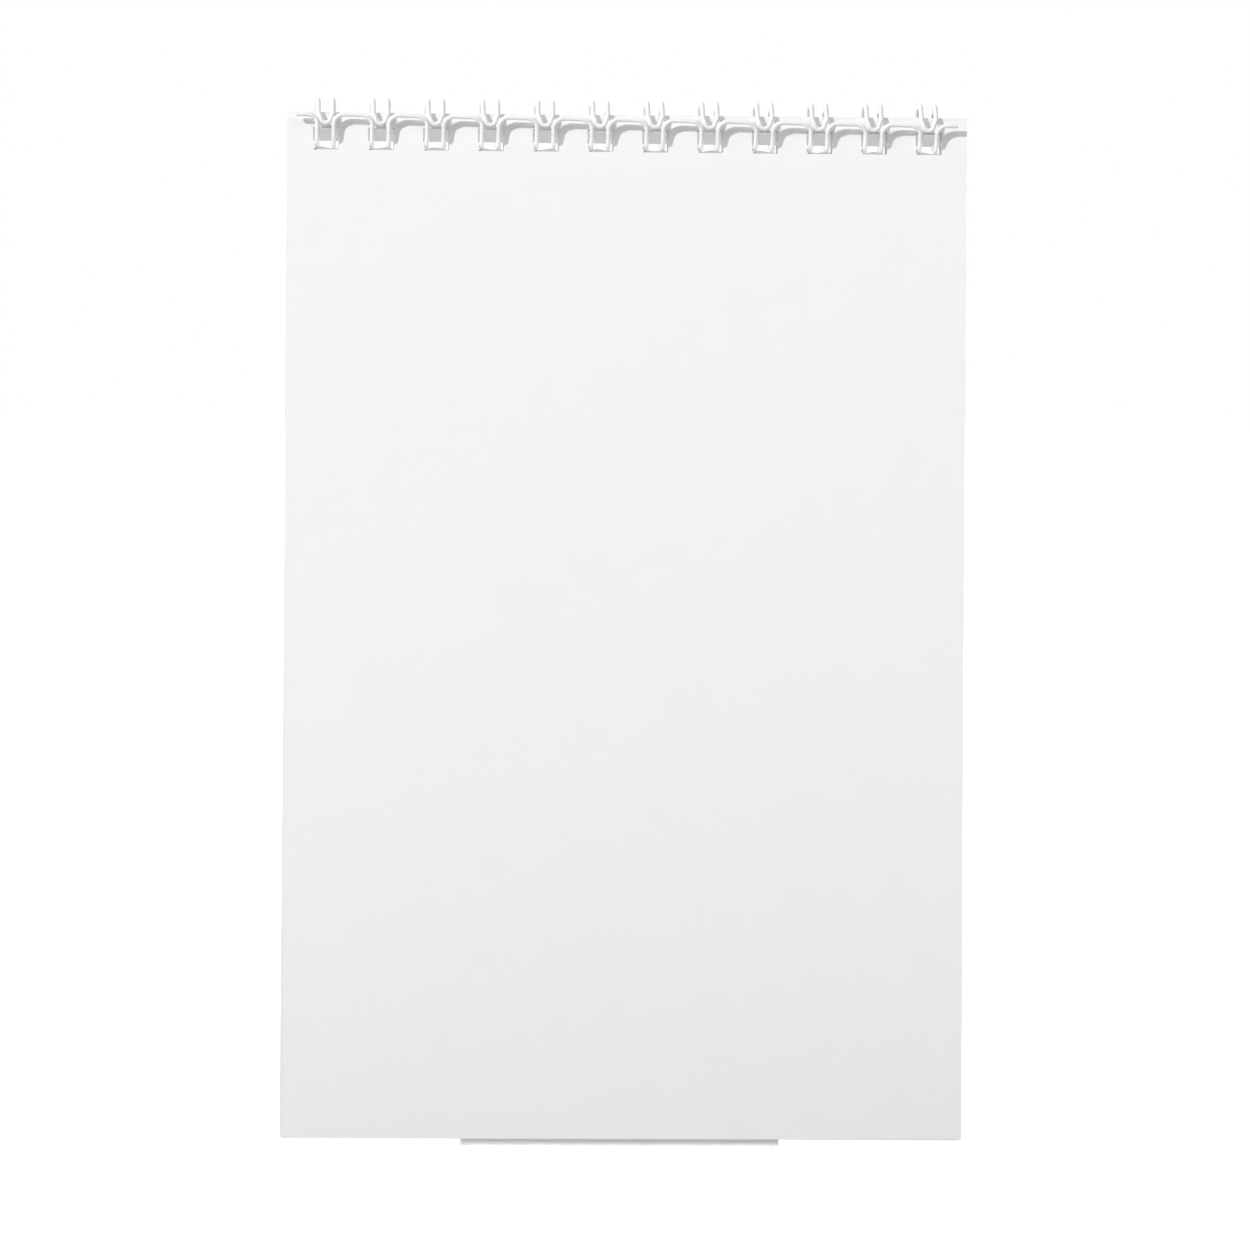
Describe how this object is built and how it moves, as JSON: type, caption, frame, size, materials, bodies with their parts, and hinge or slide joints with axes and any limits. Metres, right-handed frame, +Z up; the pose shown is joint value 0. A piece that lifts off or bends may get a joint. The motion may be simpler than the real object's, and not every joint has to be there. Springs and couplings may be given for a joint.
{
  "type": "desk calendar",
  "caption": "Blank white desk calendar: loose leaves and a back board bound along the top with a white twin-loop wire, standing on a folding card easel.",
  "frame": {"origin": "centre of the box's lower face, on the desk", "axes": "+Z up, the leaves face -Y and lean back towards +Y by 12 degrees, +X to the right as seen from the front"},
  "size_m": [0.1054, 0.0384, 0.159],
  "materials": {
    "leaf_paper": "matte",
    "board": "matte",
    "easel_card": "matte",
    "tape": "satin",
    "coated_wire": "satin"
  },
  "bodies": {
    "root": {"back_board": "board", "easel_centre_panel": "easel_card", "panel_tape_left": "tape", "panel_tape_right": "tape"},
    "wire": {"binding_wire": "coated_wire"},
    "wing_left": {"easel_wing_left": "easel_card"},
    "wing_right": {"easel_wing_right": "easel_card"},
    "lock_flap": {"easel_lock_flap": "easel_card"},
    "leaf_01": {"leaf_01": "leaf_paper"},
    "leaf_02": {"leaf_02": "leaf_paper"},
    "leaf_03": {"leaf_03": "leaf_paper"},
    "leaf_04": {"leaf_04": "leaf_paper"},
    "leaf_05": {"leaf_05": "leaf_paper"},
    "leaf_06": {"leaf_06": "leaf_paper"},
    "leaf_07": {"leaf_07": "leaf_paper"},
    "leaf_08": {"leaf_08": "leaf_paper"},
    "leaf_09": {"leaf_09": "leaf_paper"},
    "leaf_10": {"leaf_10": "leaf_paper"},
    "leaf_11": {"leaf_11": "leaf_paper"},
    "leaf_12": {"leaf_12": "leaf_paper"},
    "leaf_13": {"leaf_13": "leaf_paper"}
  },
  "joints": [
    {"name": "wire_turn", "type": "hinge", "parent": "root", "child": "wire", "pos_m": [0, 0.01527, 0.15502], "axis": [-1, 0, 0], "range_deg": [0, 120]},
    {"name": "leaf_13_turn", "type": "hinge", "parent": "root", "child": "leaf_13", "pos_m": [0, 0.01619, 0.15642], "axis": [-1, 0, 0], "range_deg": [0, 1]},
    {"name": "leaf_12_turn", "type": "hinge", "parent": "leaf_13", "child": "leaf_12", "pos_m": [0, 0.01602, 0.15646], "axis": [-1, 0, 0], "range_deg": [0, 1]},
    {"name": "leaf_11_turn", "type": "hinge", "parent": "leaf_12", "child": "leaf_11", "pos_m": [0, 0.01584, 0.1565], "axis": [-1, 0, 0], "range_deg": [0, 1]},
    {"name": "leaf_10_turn", "type": "hinge", "parent": "leaf_11", "child": "leaf_10", "pos_m": [0, 0.01566, 0.15653], "axis": [-1, 0, 0], "range_deg": [0, 1]},
    {"name": "leaf_09_turn", "type": "hinge", "parent": "leaf_10", "child": "leaf_09", "pos_m": [0, 0.01549, 0.15657], "axis": [-1, 0, 0], "range_deg": [0, 1]},
    {"name": "leaf_08_turn", "type": "hinge", "parent": "leaf_09", "child": "leaf_08", "pos_m": [0, 0.01531, 0.15661], "axis": [-1, 0, 0], "range_deg": [0, 1]},
    {"name": "leaf_07_turn", "type": "hinge", "parent": "leaf_08", "child": "leaf_07", "pos_m": [0, 0.01514, 0.15665], "axis": [-1, 0, 0], "range_deg": [0, 1]},
    {"name": "leaf_06_turn", "type": "hinge", "parent": "leaf_07", "child": "leaf_06", "pos_m": [0, 0.01496, 0.15668], "axis": [-1, 0, 0], "range_deg": [0, 1]},
    {"name": "leaf_05_turn", "type": "hinge", "parent": "leaf_06", "child": "leaf_05", "pos_m": [0, 0.01478, 0.15672], "axis": [-1, 0, 0], "range_deg": [0, 1]},
    {"name": "leaf_04_turn", "type": "hinge", "parent": "leaf_05", "child": "leaf_04", "pos_m": [0, 0.01461, 0.15676], "axis": [-1, 0, 0], "range_deg": [0, 1]},
    {"name": "leaf_03_turn", "type": "hinge", "parent": "leaf_04", "child": "leaf_03", "pos_m": [0, 0.01443, 0.1568], "axis": [-1, 0, 0], "range_deg": [0, 1]},
    {"name": "leaf_02_turn", "type": "hinge", "parent": "leaf_03", "child": "leaf_02", "pos_m": [0, 0.01426, 0.15683], "axis": [-1, 0, 0], "range_deg": [0, 1]},
    {"name": "leaf_01_turn", "type": "hinge", "parent": "leaf_02", "child": "leaf_01", "pos_m": [0, 0.0153, 0.15559], "axis": [-1, 0, 0], "range_deg": [0, 115]},
    {"name": "wing_left_fold", "type": "hinge", "parent": "root", "child": "wing_left", "pos_m": [-0.0246, -0.00362, 0.0538], "axis": [0, 0.2079, 0.9781], "range_deg": [0, 90]},
    {"name": "wing_right_fold", "type": "hinge", "parent": "root", "child": "wing_right", "pos_m": [0.0246, -0.00362, 0.0538], "axis": [0, -0.2079, -0.9781], "range_deg": [0, 90]},
    {"name": "lock_flap_fold", "type": "hinge", "parent": "root", "child": "lock_flap", "pos_m": [0, -0.01491, 0.00068], "axis": [1, 0, 0], "range_deg": [0, 72]}
  ],
  "couplings": [
    {"joint": "wire_turn", "follows": "leaf_01_turn", "ratio": 1}
  ]
}
